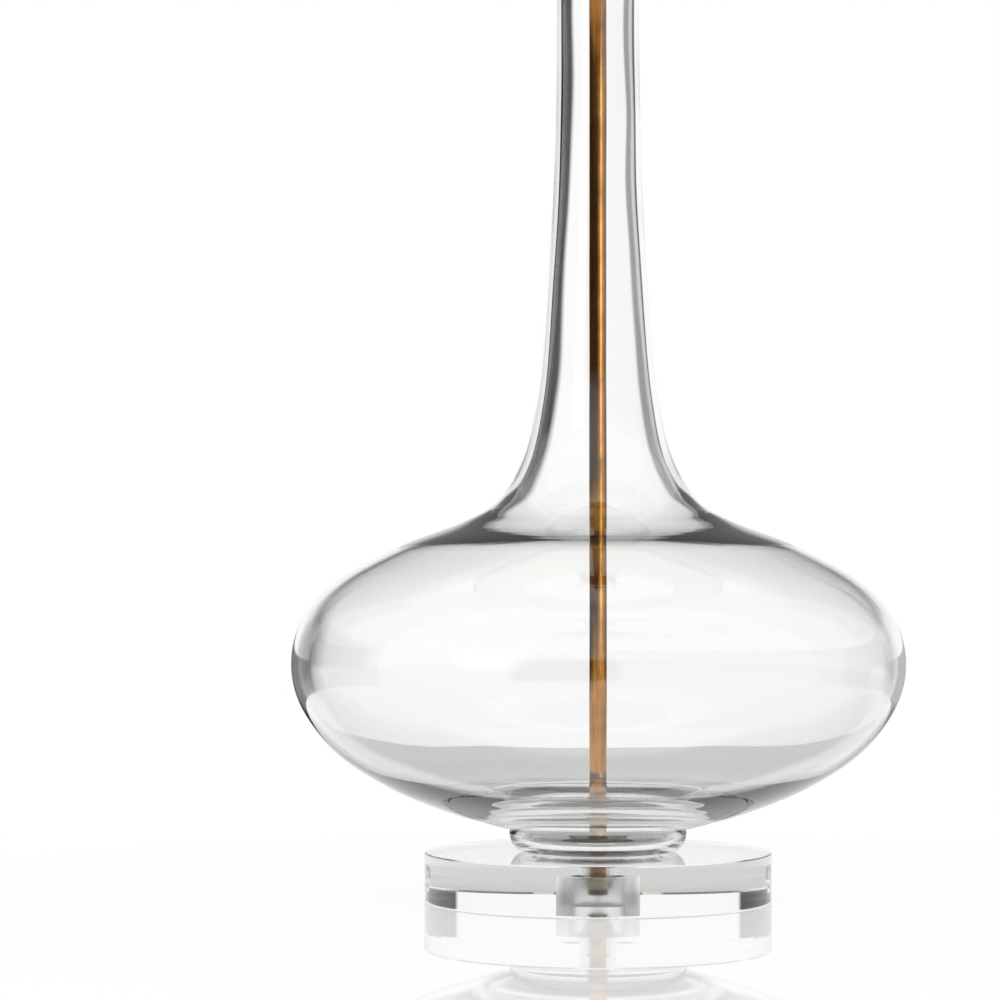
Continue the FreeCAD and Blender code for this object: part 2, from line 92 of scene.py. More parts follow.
def clear_material(name, colour, ior, roughness, haze, depth):
    """A clear solid: refracting, letting lamps through, and tinted through its thickness. The haze is
    how many grains a metre its surface has, or 0."""
    material, tree, output = new_material(name)
    path = add(tree, "ShaderNodeLightPath")
    body = add(tree, "ShaderNodeBsdfGlass", {"Color": tone("ffffff"), "Roughness": roughness, "IOR": ior})
    if haze:
        place = add(tree, "ShaderNodeTexCoord")
        grain = add(tree, "ShaderNodeTexNoise", {"Vector": place.outputs["Object"], "Scale": haze,
                                                 "Detail": 4.0})
        ridges = add(tree, "ShaderNodeBump", {"Height": grain.outputs["Fac"], "Strength": 0.25,
                                              "Distance": 0.0002})
        tree.links.new(ridges.outputs["Normal"], body.inputs["Normal"])
    shadow = add(tree, "ShaderNodeBsdfTransparent", {"Color": tone("eef0ec")})
    surface = add(tree, "ShaderNodeMixShader", {0: path.outputs["Is Shadow Ray"], 1: body.outputs[0],
                                                2: shadow.outputs[0]})
    tint = add(tree, "ShaderNodeVolumeAbsorption", {"Color": tone(colour), "Density": depth})
    tree.links.new(surface.outputs[0], output.inputs["Surface"])
    tree.links.new(tint.outputs[0], output.inputs["Volume"])
    return material


def antique_brass():
    """Brass darkened with a brown patina and rubbed back, drawn lengthways: dark gold with
    browner streaks and a soft, broken shine."""
    material, tree, output = new_material("antique_brass")
    place = add(tree, "ShaderNodeTexCoord")
    blotch = add(tree, "ShaderNodeTexNoise", {"Vector": place.outputs["Object"], "Scale": 1 / (14 * MM),
                                              "Detail": 5.0, "Roughness": 0.6})
    along = add(tree, "ShaderNodeMapping", {"Vector": place.outputs["Object"], "Scale": (1.0, 1.0, 0.03)})
    streak = add(tree, "ShaderNodeTexNoise", {"Vector": along.outputs[0], "Scale": 1 / (1.6 * MM),
                                              "Detail": 3.0})
    both = add(tree, "ShaderNodeMath", {0: blotch.outputs["Fac"], 1: streak.outputs["Fac"]}, operation="ADD")
    half = add(tree, "ShaderNodeMath", {0: both.outputs[0], 1: 0.5}, operation="MULTIPLY")
    colour = add(tree, "ShaderNodeValToRGB", {"Fac": half.outputs[0]},
                 [(0.36, tone("8a5a28")), (0.5, tone("b9823f")), (0.62, tone("d09a55"))])
    shine = add(tree, "ShaderNodeMapRange", {"Value": half.outputs[0], "From Min": 0.3, "From Max": 0.7,
                                             "To Min": 0.24, "To Max": 0.16})
    bump = add(tree, "ShaderNodeBump", {"Height": streak.outputs["Fac"], "Strength": 0.12,
                                        "Distance": 0.1 * MM})
    body = add(tree, "ShaderNodeBsdfPrincipled", {"Base Color": colour.outputs[0], "Metallic": 1.0,
                                                  "Roughness": shine.outputs[0],
                                                  "Normal": bump.outputs["Normal"]})
    tree.links.new(body.outputs[0], output.inputs["Surface"])
    return material


def metal(name, colour, roughness, grain):
    """A plain metal with a fine, even surface grain."""
    material, tree, output = new_material(name)
    place = add(tree, "ShaderNodeTexCoord")
    fine = add(tree, "ShaderNodeTexNoise", {"Vector": place.outputs["Object"], "Scale": 1 / grain,
                                            "Detail": 3.0})
    shade = add(tree, "ShaderNodeMix", {0: fine.outputs["Fac"], 6: tone(colour[0]), 7: tone(colour[1])},
                data_type="RGBA")
    bump = add(tree, "ShaderNodeBump", {"Height": fine.outputs["Fac"], "Strength": 0.15,
                                        "Distance": 0.05 * MM})
    body = add(tree, "ShaderNodeBsdfPrincipled", {"Base Color": shade.outputs[2], "Metallic": 1.0,
                                                  "Roughness": roughness, "Normal": bump.outputs["Normal"]})
    tree.links.new(body.outputs[0], output.inputs["Surface"])
    return material


def moulded(name, colours, roughness, grain):
    """A moulded or die-cut solid: two near tones in a fine grain."""
    material, tree, output = new_material(name)
    place = add(tree, "ShaderNodeTexCoord")
    fine = add(tree, "ShaderNodeTexNoise", {"Vector": place.outputs["Object"], "Scale": 1 / grain,
                                            "Detail": 4.0})
    shade = add(tree, "ShaderNodeMix", {0: fine.outputs["Fac"], 6: tone(colours[0]), 7: tone(colours[1])},
                data_type="RGBA")
    bump = add(tree, "ShaderNodeBump", {"Height": fine.outputs["Fac"], "Strength": 0.3,
                                        "Distance": 0.05 * MM})
    body = add(tree, "ShaderNodeBsdfPrincipled", {"Base Color": shade.outputs[2], "Roughness": roughness,
                                                  "Normal": bump.outputs["Normal"]})
    tree.links.new(body.outputs[0], output.inputs["Surface"])
    return material


def linen(name, warp_colour, weft_colour):
    """Plain-woven linen, 0.9 mm from thread to thread, with slubs: the weave reads as a fine
    grid with thicker threads here and there. It follows the piece's UV map, in metres."""
    material, tree, output = new_material(name)
    place = add(tree, "ShaderNodeUVMap", uv_map="cloth")
    thread = 0.9 * MM
    threads = {}
    for way, direction in (("warp", "X"), ("weft", "Y")):
        stretch = (1.0, 0.06, 1.0) if way == "warp" else (0.06, 1.0, 1.0)
        lengthways = add(tree, "ShaderNodeMapping", {"Vector": place.outputs[0], "Scale": stretch})
        slub = add(tree, "ShaderNodeTexNoise", {"Vector": lengthways.outputs[0], "Scale": 0.5 / thread,
                                                "Detail": 2.0})
        wave = add(tree, "ShaderNodeTexWave", {"Vector": place.outputs[0],
                                               "Scale": 2 * math.pi / (20 * thread),
                                               "Distortion": 0.6, "Detail": 1.0, "Detail Scale": 2.0},
                   bands_direction=direction)
        threads[way] = add(tree, "ShaderNodeMath", {0: wave.outputs["Fac"], 1: slub.outputs["Fac"]},
                           operation="MULTIPLY")
    weave = add(tree, "ShaderNodeMath", {0: threads["warp"].outputs[0], 1: threads["weft"].outputs[0]},
                operation="MAXIMUM")
    colour = add(tree, "ShaderNodeMix", {0: weave.outputs[0], 6: tone(warp_colour), 7: tone(weft_colour)},
                 data_type="RGBA")
    bump = add(tree, "ShaderNodeBump", {"Height": weave.outputs[0], "Strength": 0.5, "Distance": 0.3 * MM})
    body = add(tree, "ShaderNodeBsdfPrincipled", {"Base Color": colour.outputs[2], "Roughness": 0.85,
                                                  "Sheen Weight": 0.2, "Normal": bump.outputs["Normal"]})
    tree.links.new(body.outputs[0], output.inputs["Surface"])
    return material


BLOWN_GLASS = clear_material("blown_glass", "dfe6dc", 1.5, 0.0, 0.0, 9.0)
ACRYLIC = clear_material("polished_acrylic", "f0f2f2", 1.49, 0.0, 0.0, 2.0)
TURNED_ACRYLIC = clear_material("turned_acrylic", "f0f2f2", 1.49, 0.32, 1 / (0.8 * MM), 2.0)
VINYL = clear_material("clear_vinyl", "eef0ea", 1.46, 0.12, 0.0, 6.0)
BRASS = antique_brass()
BARE_BRASS = metal("bare_brass", ("b98d45", "d0a75c"), 0.32, 0.5 * MM)
ZINC = metal("dull_zinc_plate", ("a49c84", "c6bfa6"), 0.38, 0.6 * MM)
BLACK = moulded("moulded_phenolic", ("161517", "232124"), 0.45, 0.4 * MM)
OLIVE = moulded("olive_rubber_pad", ("4a4a3a", "5c5b48"), 0.7, 0.3 * MM)
RUBBER = moulded("black_rubber", ("1a1a1a", "262626"), 0.75, 0.3 * MM)
BOARD = moulded("insulating_board", ("a98f66", "c0a980"), 0.9, 0.5 * MM)
STYRENE = moulded("styrene_lining", ("efece4", "f7f5f0"), 0.6, 3 * MM)
LINEN = linen("linen_cover", "d9d0bd", "efe9dc")
TAPE = linen("linen_tape", "d2c8b4", "e8e0d0")


# ---------------------------------------------------------------- meshes

def finish_piece(bm, name, body, nodes, material, sharp=32):
    """The piece from its bmesh, riding on its body and standing for its nodes. Edges over the sharp
    angle, in degrees, stay crisp."""
    for face in bm.faces:
        face.smooth = True
    for edge in bm.edges:
        if len(edge.link_faces) == 2 and edge.calc_face_angle() > math.radians(sharp):
            edge.smooth = False
    mesh = bpy.data.meshes.new(name)
    bm.to_mesh(mesh)
    bm.free()
    piece = bpy.data.objects.new(name, mesh)
    bpy.context.scene.collection.objects.link(piece)
    mesh.materials.append(material)
    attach(piece, body)
    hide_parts(*nodes)
    return piece


def turned_mesh(outline, segments, centre=(0.0, 0.0)):
    """A closed solid turned about an upright axis from its section's (radius, height) corners."""
    bm = bmesh.new()
    verts = [bm.verts.new((centre[0] + radius, centre[1], height)) for radius, height in outline]
    edges = [bm.edges.new(pair) for pair in zip(verts, verts[1:] + verts[:1])]
    bmesh.ops.spin(bm, geom=verts + edges, cent=(*centre, 0.0), axis=(0, 0, 1), angle=2 * math.pi,
                   steps=segments, use_merge=True)
    bmesh.ops.remove_doubles(bm, verts=bm.verts, dist=0.5e-6)
    degenerate = [face for face in bm.faces if face.calc_area() < 1e-14]
    bmesh.ops.delete(bm, geom=degenerate, context="FACES_ONLY")
    bmesh.ops.recalc_face_normals(bm, faces=bm.faces)
    return bm


def turned_piece(name, outline, body, nodes, material, segments=SMALL_SEGMENTS,
                 centre=(0.0, 0.0), edge=0.0):
    """A turned piece; edge is the width of the rounding on its sharp rims."""
    bm = turned_mesh(outline, segments, centre)
    if edge:
        rims = [rim for rim in bm.edges
                if len(rim.link_faces) == 2 and rim.calc_face_angle() > math.radians(40)]
        bmesh.ops.bevel(bm, geom=rims, offset=edge, segments=2, profile=0.5, affect="EDGES",
                        material=-1, clamp_overlap=True)
    return finish_piece(bm, name, body, nodes, material)


def smooth_line(points, steps):
    """Points on a smooth curve through the given ones, with so many steps to each."""
    count = len(points)
    line = []
    for index in range(count - 1):
        p1 = Vector(points[index])
        p2 = Vector(points[index + 1])
        p0 = Vector(points[index - 1]) if index > 0 else 2 * p1 - p2
        p3 = Vector(points[index + 2]) if index < count - 2 else 2 * p2 - p1
        t1 = (p1 - p0).length ** 0.5
        t2 = t1 + (p2 - p1).length ** 0.5
        t3 = t2 + (p3 - p2).length ** 0.5
        for step in range(steps):
            t = t1 + (t2 - t1) * step / steps
            a1 = (t1 - t) / t1 * p0 + t / t1 * p1
            a2 = (t2 - t) / (t2 - t1) * p1 + (t - t1) / (t2 - t1) * p2
            a3 = (t3 - t) / (t3 - t2) * p2 + (t - t2) / (t3 - t2) * p3
            b1 = (t2 - t) / t2 * a1 + t / t2 * a2
            b2 = (t3 - t) / (t3 - t1) * a2 + (t - t1) / (t3 - t1) * a3
            line.append(tuple((t2 - t) / (t2 - t1) * b1 + (t - t1) / (t2 - t1) * b2))
    line.append(tuple(points[-1]))
    return line


def quarter(centre, across, up, start, end, steps):
    """Points on a part of an ellipse, between two angles in degrees from the radius."""
    line = []
    for step in range(steps + 1):
        angle = math.radians(start + (end - start) * step / steps)
        line.append((centre[0] + across * math.cos(angle), centre[1] + up * math.sin(angle)))
    return line


def between(low, high, shares):
    """Points between two points, each at its shares of the radius and of the height."""
    return [(low[0] + (high[0] - low[0]) * radius, low[1] + (high[1] - low[1]) * height)
            for radius, height in shares]


# ---------------------------------------------------------------- sizes from the frame

PLINTH_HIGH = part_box("plinth")[1]
GLASS_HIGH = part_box("glass_body")[1]
PIPE_LOW, PIPE_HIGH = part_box("lamp_pipe")
FLOOR_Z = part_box("seat_collar")[0][2]
PLINTH_TOP = PLINTH_HIGH[2]
PIPE_RADIUS = PIPE_HIGH[0]
PIPE_BORE = 3.2 * MM
SLEEVE_BORE = PIPE_RADIUS + 0.05 * MM     # bore of what sits round the pipe
FOOT_REST_RADIUS = 39.8 * MM
FOOT_RADIUS = 49.6 * MM
FOOT_BULGE = 11.0 * MM
CREASE = (48.8 * MM, PLINTH_TOP + 12.8 * MM)
BELLY = (GLASS_HIGH[0], PLINTH_TOP + 108.0 * MM)
SHOULDER = (73.9 * MM, PLINTH_TOP + 185.2 * MM)
FLARE = (34.2 * MM, PLINTH_TOP + 252.4 * MM)
NECK_WALL = 4.0 * MM
MOUTH = (23.2 * MM, GLASS_HIGH[2] - NECK_WALL / 2)
BELLY_WALL = 3.6 * MM
UNDERSIDE_WALL = 5.4 * MM
FOOT_WALL = 4.0 * MM
FOOT_FILLET = 6.0 * MM
PUNT_RADIUS = 34.0 * MM
PUNT_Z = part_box("foot_washer")[1][2]
GLASS_HOLE = 5.8 * MM
AIR_GAP = 0.03 * MM     # the thin film of air between two clear pieces that lie on each other


# ---------------------------------------------------------------- glass

SHOULDER_SWELL = 2.3 * MM
BASE_SWELL = 1.8 * MM
WAVE_SIZE = 55 * MM


def clamped(value):
    return max(0.0, min(1.0, value))


def wall_at(height):
    """Even wall of the glass: thick below, thin at the belly, and thicker again in the neck."""
    if height < BELLY[1]:
        share = (BELLY[1] - height) / (BELLY[1] - CREASE[1])
        return BELLY_WALL + (UNDERSIDE_WALL - BELLY_WALL) * share ** 2
    share = min(1.0, (height - BELLY[1]) / (FLARE[1] - BELLY[1]))
    return BELLY_WALL + (NECK_WALL - BELLY_WALL) * share


def shoulder_swell(radius):
    """How much thicker the blown wall is where the shoulder draws in to the neck."""
    rise = clamped((107 * MM - radius) / (57 * MM))
    fall = clamped((radius - FLARE[0]) / (18 * MM))
    return SHOULDER_SWELL * rise * fall


def base_swell(radius):
    """How much thicker the blown wall is where the bulb closes in to its foot."""
    return BASE_SWELL * clamped((130 * MM - radius) / (70 * MM))


def glass_section():
    """Corners of the bottle's wall, turned about its axis: the outside up, the inside down."""
    stations = [CREASE]
    stations += between(CREASE, BELLY, [(0.142, 0.046), (0.32, 0.118), (0.571, 0.258),
                                        (0.811, 0.471), (0.966, 0.752)]) + [BELLY]
    stations += between(BELLY, SHOULDER, [(0.069, 0.304), (0.266, 0.565), (0.645, 0.826)]) + [SHOULDER]
    stations += between(SHOULDER, FLARE, [(0.443, 0.167), (0.796, 0.5)]) + [FLARE]
    stations += between(FLARE, MOUTH, [(0.564, 0.253), (0.891, 0.506), (0.98, 0.75)]) + [MOUTH]
    outside = [(min(point[0], GLASS_HIGH[0]), point[1]) for point in smooth_line(stations, 7)]
    inside = []
    for before, here, after in zip(outside[6:], outside[7:], outside[8:]):
        along = Vector((after[0] - before[0], after[1] - before[1])).normalized()
        wall = wall_at(here[1])
        wall += shoulder_swell(here[0]) if here[1] > BELLY[1] else base_swell(here[0])
        inside.append((here[0] - along.y * wall, here[1] + along.x * wall))
    rim = quarter((MOUTH[0] - NECK_WALL / 2, MOUTH[1]), NECK_WALL / 2, NECK_WALL / 2, 0, 180, 8)
    rest = PLINTH_TOP + AIR_GAP
    foot = quarter((FOOT_REST_RADIUS, PLINTH_TOP + FOOT_BULGE), FOOT_RADIUS - FOOT_REST_RADIUS,
                   FOOT_BULGE - AIR_GAP, -90, 0, 12)
    cavity = FOOT_RADIUS - FOOT_WALL
    well = quarter((cavity - FOOT_FILLET, FLOOR_Z + FOOT_FILLET), FOOT_FILLET, FOOT_FILLET, 0, -90, 8)
    neck_in = smooth_line([inside[0], (cavity + 0.6 * MM, well[0][1] + 3.0 * MM), well[0]], 5)
    base = [(GLASS_HOLE, FLOOR_Z), (GLASS_HOLE, PUNT_Z), (PUNT_RADIUS - (PUNT_Z - PLINTH_TOP), PUNT_Z),
            (PUNT_RADIUS, rest)]
    return base + foot + outside + rim[1:] + inside[::-1] + neck_in[1:-1] + well


def glass_bottle():
    """The bottle, with the faint waves of glass that was blown and turned by hand. They go inward
    only, and are stronger inside and up the neck."""
    bm = turned_mesh(glass_section(), SEGMENTS)
    bm.normal_update()
    moves = {}
    for vert in bm.verts:
        rise = clamped((vert.co.z - FLOOR_Z - 4 * MM) / (26 * MM))
        fade = rise * clamped((GLASS_HIGH[2] - vert.co.z) / (30 * MM))
        blend = clamped((vert.co.z - SHOULDER[1]) / (FLARE[1] - SHOULDER[1]))
        radial = Vector((vert.co.x, vert.co.y, 0.0))
        inner = vert.normal.dot(radial) < 0 or (vert.normal.z > 0.3 and vert.co.z < BELLY[1])
        swell = (0.05 + 0.45 * blend) * MM if inner else (0.03 + 0.1 * blend) * MM
        value = noise.noise(vert.co / WAVE_SIZE + Vector((7.0, 3.0, 1.0 if inner else 9.0)))
        moves[vert] = vert.normal * (value * swell * fade - (0.0 if inner else swell * fade))
    for vert, move in moves.items():
        vert.co += move
    return finish_piece(bm, "glass_bottle", "lamp", ["glass_body"], BLOWN_GLASS, sharp=60)


glass_bottle()


# ---------------------------------------------------------------- plinth and what is in its pocket

BEVEL = 0.6 * MM
POCKET_RADIUS = 15.7 * MM
POCKET_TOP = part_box("pocket_washer")[1][2]
PIPE_HOLE = 6.9 * MM
CORD_HOLE = 4.8 * MM
CORD_HOLE_Z = (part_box("cord_grommet")[0][2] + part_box("cord_grommet")[1][2]) / 2


def bored(bm, start, end, radius):
    """The solid with a round hole through it from start to end."""
    start, end = Vector(start), Vector(end)
    drill = bmesh.new()
    turn = (end - start).to_track_quat("Z", "Y").to_matrix().to_4x4()
    place = Matrix.Translation((start + end) / 2) @ turn
    bmesh.ops.create_cone(drill, cap_ends=True, segments=48, radius1=radius, radius2=radius,
                          depth=(end - start).length, matrix=place)
    objects = []
    for work in (bm, drill):
        mesh = bpy.data.meshes.new("work")
        work.to_mesh(mesh)
        work.free()
        made = bpy.data.objects.new("work", mesh)
        bpy.context.scene.collection.objects.link(made)
        objects.append(made)
    cut = objects[0].modifiers.new("cut", "BOOLEAN")
    cut.object = objects[1]
    cut.operation = "DIFFERENCE"
    cut.solver = "EXACT"
    bpy.context.view_layer.update()
    ready = objects[0].evaluated_get(bpy.context.evaluated_depsgraph_get())
    result = bmesh.new()
    result.from_mesh(ready.to_mesh())
    ready.to_mesh_clear()
    for made in objects:
        bpy.data.objects.remove(made)
    return result


def plinth_disc():
    """The acrylic disc: flame-polished outside, left as turned in its pocket and holes."""
    radius = PLINTH_HIGH[0]
    bm = turned_mesh([
        (PIPE_HOLE, POCKET_TOP), (POCKET_RADIUS, POCKET_TOP), (POCKET_RADIUS, 0.0),
        (radius - BEVEL, 0.0), (radius, BEVEL), (radius, PLINTH_TOP - BEVEL),
        (radius - BEVEL, PLINTH_TOP), (PIPE_HOLE, PLINTH_TOP),
    ], SEGMENTS)
    bm = bored(bm, (0, POCKET_RADIUS / 2, CORD_HOLE_Z), (0, radius + 5 * MM, CORD_HOLE_Z),
               CORD_HOLE + AIR_GAP)
    for face in bm.faces:
        middle = face.calc_center_median()
        around = math.hypot(middle.x, middle.y)
        outside = around > radius - 2 * BEVEL or min(middle.z, PLINTH_TOP - middle.z) < 0.01 * MM
        face.material_index = 0 if outside else 1
    piece = finish_piece(bm, "plinth_disc", "lamp", ["plinth"], ACRYLIC)
    piece.data.materials.append(TURNED_ACRYLIC)
    return piece


plinth_disc()


def tube_section(node, inner):
    """Corners of a plain tube as large as a node, with the given bore."""
    low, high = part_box(node)
    return [(inner, low[2]), (high[0], low[2]), (high[0], high[2]), (inner, high[2])]


def collar_section():
    low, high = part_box("seat_collar")
    flange, neck, bore = high[0], 5.4 * MM, SLEEVE_BORE
    bead = (high[2] - 4.6 * MM, high[2])
    middle = (bead[0] + bead[1]) / 2
    return ([(bore, low[2]), (flange, low[2]), (flange, low[2] + 1.2 * MM), (neck, low[2] + 2.4 * MM),
             (neck, bead[0])] + quarter((neck, middle), flange - neck, 2.3 * MM, -75, 75, 8)
            + [(neck, high[2]), (bore, high[2])])


def bushing_section():
    low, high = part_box("pipe_bushing")
    bore, recess = 2.8 * MM, SLEEVE_BORE
    return [(bore, low[2]), (high[0], low[2]), (high[0], high[2]), (recess, high[2]),
            (recess, PIPE_LOW[2]), (bore, PIPE_LOW[2])]


turned_piece("brass_pipe", tube_section("lamp_pipe", PIPE_BORE), "lamp", ["lamp_pipe"],
             BRASS, edge=0.3 * MM)
turned_piece("foot_pad", [(radius, height + AIR_GAP) for radius, height in
                          tube_section("foot_washer", GLASS_HOLE)],
             "lamp", ["foot_washer"], OLIVE)
turned_piece("floor_collar", collar_section(), "lamp", ["seat_collar"], BRASS)
turned_piece("end_bushing", bushing_section(), "lamp", ["pipe_bushing"], BLACK,
             edge=0.3 * MM)


# ---------------------------------------------------------------- neck cap, column and lampholder

def cap_section():
    low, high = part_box("neck_cap")
    bore, skirt = SLEEVE_BORE, 25.0 * MM
    inner, seat = skirt - 1.2 * MM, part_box("neck_gasket")[1][2]
    bead = high[0] - skirt
    dome = smooth_line([(skirt, seat)] + between((skirt, seat), (9.5 * MM, high[2]), [
        (0.12, 0.42), (0.42, 0.68), (0.78, 0.86)]) + [(9.5 * MM, high[2])], 6)
    return ([(bore, seat), (inner, seat), (inner, low[2]), (skirt, low[2])]
            + quarter((skirt, low[2] + bead), bead, bead, -80, 80, 8) + [(skirt, low[2] + 2 * bead)]
            + dome + [(bore, high[2])])


def column_section():
    low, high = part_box("cap_column")
    bore, band = SLEEVE_BORE, 2.5 * MM
    waist = smooth_line([(9.0 * MM, low[2] + band), (6.6 * MM, (low[2] + high[2]) / 2),
                         (8.4 * MM, high[2] - band)], 8)
    return [(bore, low[2]), (9.0 * MM, low[2])] + waist + [(8.4 * MM, high[2]), (bore, high[2])]


def holder_cap_section():
    low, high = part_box("holder_cap")
    hub, wall, bore = 7.4 * MM, 0.8 * MM, SLEEVE_BORE
    hub_z, wide_z = low[2] + 7.0 * MM, high[2] - 6.0 * MM
    swell = [(0.3, 0.2), (0.72, 0.45)]
    out_low, out_high = (hub, hub_z - 2 * wall), (high[1], wide_z)
    in_low, in_high = (hub, hub_z), (high[1] - wall, wide_z)
    outside = smooth_line([out_low] + between(out_low, out_high, swell) + [out_high], 6)
    inside = smooth_line([in_low] + between(in_low, in_high, swell) + [in_high], 6)
    return ([(bore, low[2]), (hub, low[2])] + outside + [(high[1], high[2]), (high[1] - wall, high[2])]
            + inside[::-1] + [(bore, hub_z)])


def shell_section():
    low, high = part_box("holder_shell")
    rim, wall = 0.9 * MM, 0.6 * MM
    outer = high[1] - rim
    inner = outer - wall
    return ([(inner, low[2]), (outer, low[2])] + quarter((outer, high[2] - rim), rim, rim, -85, 85, 8)
            + [(outer, high[2]), (inner, high[2])])


def holder_shell():
    """The lampholder's shell, with the hole that the switch's shaft comes through."""
    bm = turned_mesh(shell_section(), SMALL_SEGMENTS)
    key_low, key_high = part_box("switch_key")
    height = (key_low[2] + key_high[2]) / 2
    bm = bored(bm, (0, -10 * MM, height), (0, -25 * MM, height), 2.3 * MM)
    return finish_piece(bm, "lampholder_shell", "lamp", ["holder_shell"], BRASS)


def thread_shell():
    """The bulb's screw shell: thin brass rolled into a round thread of 3.6 mm pitch."""
    low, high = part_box("screw_shell")
    pitch, depth, steps, turns, corners = 3.6 * MM, 0.5 * MM, 48, 9, 8
    bm = bmesh.new()
    verts = []
    for index in range(corners + 1):
        share = index / corners
        radius = high[1] - depth / 2 - 0.1 * MM + depth / 2 * math.cos(2 * math.pi * share)
        verts.append(bm.verts.new((radius - 0.1 * MM, 0, low[2] - pitch * (1 - share))))
    edges = [bm.edges.new(pair) for pair in zip(verts, verts[1:])]
    bmesh.ops.spin(bm, geom=verts + edges, cent=(0, 0, 0), axis=(0, 0, 1), angle=2 * math.pi * turns,
                   dvec=(0, 0, pitch / steps), steps=steps * turns)
    bmesh.ops.remove_doubles(bm, verts=bm.verts, dist=0.01 * MM)
    for height, way in ((low[2], -1), (high[2], 1)):
        bmesh.ops.bisect_plane(bm, geom=bm.verts[:] + bm.edges[:] + bm.faces[:], plane_co=(0, 0, height),
                               plane_no=(0, 0, way), clear_outer=True)
    bmesh.ops.recalc_face_normals(bm, faces=bm.faces)
    bmesh.ops.solidify(bm, geom=bm.faces[:], thickness=0.25 * MM)
    return finish_piece(bm, "bulb_thread", "lamp", ["screw_shell"], BARE_BRASS, sharp=60)


turned_piece("cap_on_neck", cap_section(), "lamp", ["neck_cap"], BRASS,
             segments=SEGMENTS)
turned_piece("turned_column", column_section(), "lamp", ["cap_column"], BRASS,
             edge=0.3 * MM)
turned_piece("lampholder_cap", holder_cap_section(), "lamp", ["holder_cap"], BRASS)
holder_shell()
thread_shell()


def box_mesh(bm, low, high, edge, segments=3):
    """A block with rounded edges, added to a bmesh."""
    low, high = Vector(low), Vector(high)
    size = Matrix.Diagonal((*(high - low), 1.0))
    made = bmesh.ops.create_cube(bm, size=1.0, matrix=Matrix.Translation((low + high) / 2) @ size)
    sides = list({side for vert in made["verts"] for side in vert.link_edges})
    bmesh.ops.bevel(bm, geom=sides, offset=edge, segments=segments, profile=0.5, affect="EDGES",
                    material=-1)


def switch_key():
    """The switch's key: a moulded paddle on a round shaft, with grip ribs on both faces."""
    low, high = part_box("switch_key")
    middle = (low[2] + high[2]) / 2
    grip_back = low[1] + 11.0 * MM
    bm = bmesh.new()
    box_mesh(bm, (low[0], low[1], low[2] + 0.3 * MM), (high[0], grip_back, high[2] - 0.3 * MM), 0.9 * MM)
    for index in range(5):
        y = low[1] + (2.0 + index * 1.7) * MM
        box_mesh(bm, (low[0] + 1.4 * MM, y, low[2]), (high[0] - 1.4 * MM, y + 0.8 * MM, high[2]),
                 0.3 * MM, 2)
    turn = Matrix.Rotation(math.radians(90), 4, "X")
    shaft = (1.6 * MM, grip_back - 2 * MM, high[1])
    collar = (2.6 * MM, grip_back - 1 * MM, grip_back + 1.5 * MM)
    for radius, start, end in (shaft, collar):
        place = Matrix.Translation((0, (start + end) / 2, middle)) @ turn
        bmesh.ops.create_cone(bm, cap_ends=True, segments=32, radius1=radius, radius2=radius,
                              depth=end - start, matrix=place)
    return finish_piece(bm, "key_paddle", "key", ["switch_key"], BLACK)


switch_key()


# ---------------------------------------------------------------- harp and finial

def rounded(points, radii, steps):
    """Straight runs through the points, with so many steps round each inner corner."""
    line = [Vector(points[0])]
    for before, corner, after, radius in zip(points, points[1:], points[2:], radii):
        back = (Vector(before) - Vector(corner)).normalized()
        ahead = (Vector(after) - Vector(corner)).normalized()
        half = back.angle(ahead) / 2
        centre = Vector(corner) + (back + ahead).normalized() * (radius / math.sin(half))
        first = Vector(corner) + back * (radius / math.tan(half)) - centre
        last = Vector(corner) + ahead * (radius / math.tan(half)) - centre
        for step in range(steps + 1):
            line.append(centre + radius * first.slerp(last, step / steps))
    line.append(Vector(points[-1]))
    return line


def wire_piece(name, path, radius, body, nodes):
    """A round wire along a path, as a mesh."""
    curve = bpy.data.curves.new(name + "_path", "CURVE")
    curve.dimensions = "3D"
    curve.bevel_depth = radius
    curve.bevel_resolution = 6
    curve.use_fill_caps = True
    spline = curve.splines.new("POLY")
    spline.points.add(len(path) - 1)
    for point, place in zip(spline.points, path):
        point.co = (*place, 1.0)
    holder = bpy.data.objects.new(name + "_path", curve)
    bpy.context.scene.collection.objects.link(holder)
    bpy.context.view_layer.update()
    mesh = bpy.data.meshes.new_from_object(holder.evaluated_get(bpy.context.evaluated_depsgraph_get()))
    bpy.data.objects.remove(holder)
    bm = bmesh.new()
    bm.from_mesh(mesh)
    bmesh.ops.remove_doubles(bm, verts=bm.verts, dist=0.001 * MM)
    bmesh.ops.recalc_face_normals(bm, faces=bm.faces)
    return finish_piece(bm, name, body, nodes, BRASS, sharp=50)


def harp_wire():
    low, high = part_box("harp_bow")
    leg, wide, crown = 28.5 * MM, high[0] - 2.0 * MM, 28.0 * MM
    widen_z = low[2] + 32.0 * MM
    side_z = widen_z + 43.0 * MM
    right = [(leg, 0, low[2]), (leg, 0, widen_z), (wide, 0, side_z), (wide, 0, side_z + 62.0 * MM),
             (crown, 0, high[2] - 2.0 * MM)]
    left = [(-point[0], 0, point[2]) for point in reversed(right)]
    bends = [30 * MM, 60 * MM, 80 * MM, 24 * MM]
    path = rounded(right + left, bends + bends[::-1], 12)
    return wire_piece("harp_wire", path, 2.0 * MM, "lamp", ["harp_bow"])


